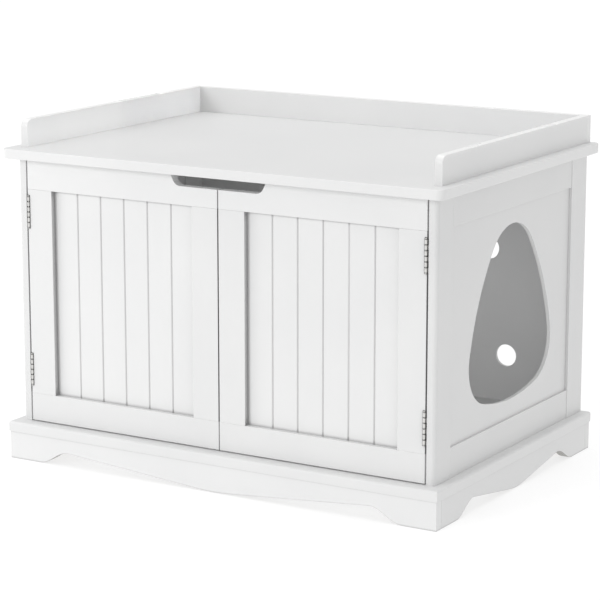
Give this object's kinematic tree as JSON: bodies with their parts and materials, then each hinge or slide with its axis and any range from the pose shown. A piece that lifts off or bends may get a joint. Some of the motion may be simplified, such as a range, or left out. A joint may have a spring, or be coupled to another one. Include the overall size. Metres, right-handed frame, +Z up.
{
  "type": "cat litter box enclosure bench",
  "caption": "White cabinet that hides a cat litter tray, with a rounded side entrance, framed grooved doors with a finger slot, a shaped plinth and a railed top.",
  "frame": {"origin": "on the floor under the centre of the top board", "axes": "+X to the right seen from the doors, -Y towards the doors, +Z up"},
  "size_m": [0.75, 0.52, 0.524],
  "materials": {
    "white_paint": "satin white paint over sanded fibreboard",
    "bright_steel": "nickel-plated steel",
    "zinc_plate": "dull zinc",
    "bare_beech": "unfinished beech",
    "white_plastic": "matt moulded plastic",
    "dark_magnet": "dark ferrite"
  },
  "bodies": {
    "cabinet": {"top_board": "white_paint", "gallery_back_rail": "white_paint", "gallery_left_rail": "white_paint", "gallery_right_rail": "white_paint", "gallery_screws": "bright_steel", "left_front_post": "white_paint", "left_rear_post": "white_paint", "left_upper_rail": "white_paint", "left_lower_rail": "white_paint", "left_side_panel": "white_paint", "left_side_dowels": "bare_beech", "right_front_post": "white_paint", "right_rear_post": "white_paint", "right_upper_rail": "white_paint", "right_lower_rail": "white_paint", "right_side_panel": "white_paint", "right_side_dowels": "bare_beech", "back_panel": "white_paint", "back_panel_screws": "bright_steel", "base_board": "white_paint", "front_skirt": "white_paint", "back_skirt": "white_paint", "left_skirt": "white_paint", "right_skirt": "white_paint", "plinth_corner_blocks": "bare_beech", "plinth_screws": "bright_steel", "cam_locks": "zinc_plate", "cam_bolts": "bright_steel", "body_dowels": "bare_beech", "left_hinge_frame_leaves": "bright_steel", "left_hinge_pins": "bright_steel", "left_hinge_frame_screws": "bright_steel", "right_hinge_frame_leaves": "bright_steel", "right_hinge_pins": "bright_steel", "right_hinge_frame_screws": "bright_steel", "catch_bodies": "white_plastic", "catch_magnets": "dark_magnet", "catch_screws": "bright_steel"},
    "left_door": {"left_door_upper_rail": "white_paint", "left_door_lower_rail": "white_paint", "left_door_hinge_stile": "white_paint", "left_door_closing_stile": "white_paint", "left_door_panel": "white_paint", "left_door_dowels": "bare_beech", "left_door_strike_plate": "zinc_plate", "left_door_strike_screw": "bright_steel", "left_hinge_door_leaves": "bright_steel", "left_hinge_door_screws": "bright_steel"},
    "right_door": {"right_door_upper_rail": "white_paint", "right_door_lower_rail": "white_paint", "right_door_hinge_stile": "white_paint", "right_door_closing_stile": "white_paint", "right_door_panel": "white_paint", "right_door_dowels": "bare_beech", "right_door_strike_plate": "zinc_plate", "right_door_strike_screw": "bright_steel", "right_hinge_door_leaves": "bright_steel", "right_hinge_door_screws": "bright_steel"}
  },
  "joints": [
    {"name": "left_door_hinge", "type": "hinge", "parent": "cabinet", "child": "left_door", "pos_m": [-0.3402, -0.2395, 0.26275], "axis": [0, 0, -1], "range_deg": [0, 170]},
    {"name": "right_door_hinge", "type": "hinge", "parent": "cabinet", "child": "right_door", "pos_m": [0.3402, -0.2395, 0.26275], "axis": [0, 0, 1], "range_deg": [0, 170]}
  ]
}
